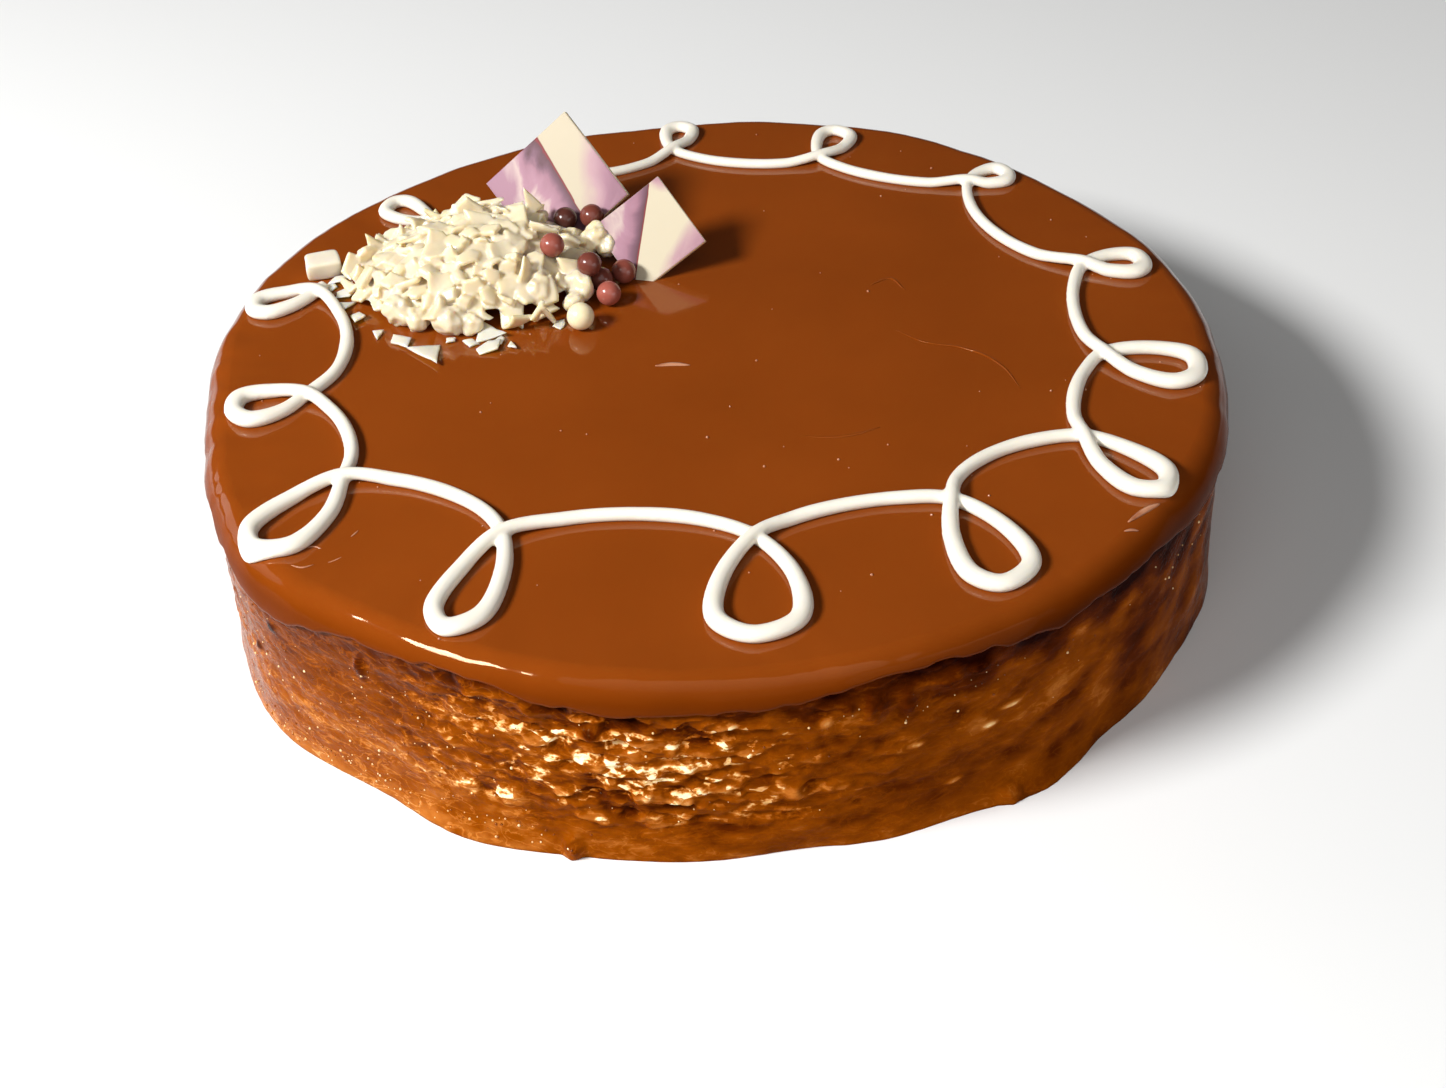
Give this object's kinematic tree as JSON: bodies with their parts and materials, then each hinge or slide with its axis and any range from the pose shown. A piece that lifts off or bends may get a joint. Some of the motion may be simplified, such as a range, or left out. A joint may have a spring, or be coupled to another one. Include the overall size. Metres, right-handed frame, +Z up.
{
  "type": "dulce de leche sponge cake",
  "caption": "Round sponge cake under a glossy caramel glaze, ringed by one piped white looping line, with a heap of white chocolate shavings, chocolate pearls and marbled chocolate squares.",
  "frame": {"origin": "middle of the cake's flat foot", "axes": "+Z up, -Y towards the front as pictured, +X to the right"},
  "size_m": [0.2469, 0.2472, 0.0792],
  "materials": {
    "sponge": "rough and wet with caramel",
    "glaze": "mirror gloss caramel",
    "icing": "soft gloss",
    "shavings": "satin",
    "milk_chocolate": "polished",
    "white_chocolate": "polished",
    "marbled": "satin, cream with mauve bands"
  },
  "bodies": {
    "root": {"sponge": "sponge", "glaze_cap": "glaze", "piped_loops": "icing", "shavings_heap": "shavings", "loose_flake_1": "shavings", "loose_flake_2": "shavings", "loose_flake_3": "shavings", "loose_flake_4": "shavings", "brown_pearl_1": "milk_chocolate", "brown_pearl_2": "milk_chocolate", "brown_pearl_3": "milk_chocolate", "brown_pearl_4": "milk_chocolate", "brown_pearl_5": "milk_chocolate", "brown_pearl_6": "milk_chocolate", "brown_pearl_7": "milk_chocolate", "brown_pearl_8": "milk_chocolate", "white_pearl": "white_chocolate", "square_back": "marbled", "square_front": "marbled"}
  },
  "joints": []
}
